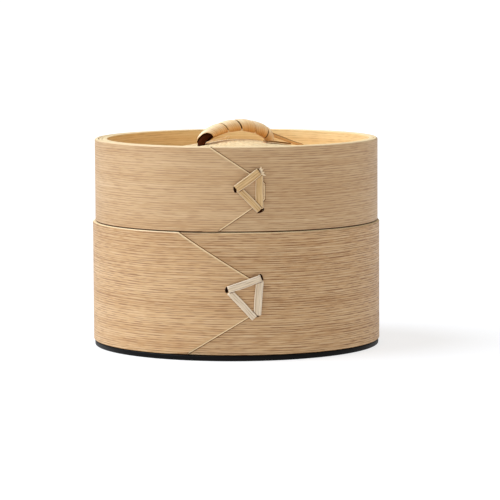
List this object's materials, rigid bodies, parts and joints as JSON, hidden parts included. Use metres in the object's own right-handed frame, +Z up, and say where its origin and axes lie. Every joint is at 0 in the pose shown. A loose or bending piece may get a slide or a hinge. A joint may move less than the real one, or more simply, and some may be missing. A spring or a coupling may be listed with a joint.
{
  "type": "bamboo steamer basket",
  "caption": "Round deep bamboo steamer basket on a silicone foot ring, with a lift-off lid that has a domed woven panel and a wrapped arch handle.",
  "frame": {"origin": "on the surface the steamer stands on, under the middle of its round outline", "axes": "+Z up; -Y towards the front, where the laced arrow ends of the hoops are; +X to the right seen from the front"},
  "size_m": [0.2543, 0.2538, 0.1986],
  "materials": {
    "bamboo_basket": "bare bamboo, fine level grain with short dark flecks",
    "bamboo_lid": "bare bamboo, paler and smoother than the basket",
    "bamboo_inside": "bare bamboo, pale yellow inner face",
    "bamboo_slat": "bare split bamboo",
    "bamboo_peg": "whittled bamboo",
    "lace_pale": "flat split bamboo strip, pale",
    "lace_tan": "flat split bamboo strip, tan",
    "cane": "rattan peel, slight sheen",
    "woven_mat": "woven split bamboo",
    "silicone": "matt black silicone"
  },
  "bodies": {
    "basket": {"silicone_foot_ring": "silicone", "base_outer_hoop": "bamboo_basket", "base_inner_hoop": "bamboo_inside", "base_lacing": "lace_pale", "floor_support_ring": "bamboo_inside", "cross_bar_left": "bamboo_slat", "cross_bar_right": "bamboo_slat", "floor_slat_1": "bamboo_slat", "floor_slat_2": "bamboo_slat", "floor_slat_3": "bamboo_slat", "floor_slat_4": "bamboo_slat", "floor_slat_5": "bamboo_slat", "floor_slat_6": "bamboo_slat", "floor_slat_7": "bamboo_slat", "floor_slat_8": "bamboo_slat", "floor_slat_9": "bamboo_slat", "ring_peg_1": "bamboo_peg", "ring_peg_2": "bamboo_peg", "ring_peg_3": "bamboo_peg", "ring_peg_4": "bamboo_peg"},
    "lid": {"lid_outer_hoop": "bamboo_lid", "lid_upper_inner_hoop": "bamboo_inside", "lid_lower_inner_hoop": "bamboo_inside", "lid_lacing": "lace_tan", "lid_woven_mat": "woven_mat", "lid_under_mat": "woven_mat", "lid_rib_left": "bamboo_slat", "lid_rib_right": "bamboo_slat", "handle_core": "cane", "handle_wrap": "cane", "handle_tail_strip": "cane", "handle_tie_strip": "cane", "handle_pin_left": "bamboo_peg", "handle_pin_right": "bamboo_peg"}
  },
  "joints": [
    {"name": "lid_lift", "type": "slide", "parent": "basket", "child": "lid", "axis": [0, 0, 1], "range_m": [0, 0.12]}
  ]
}
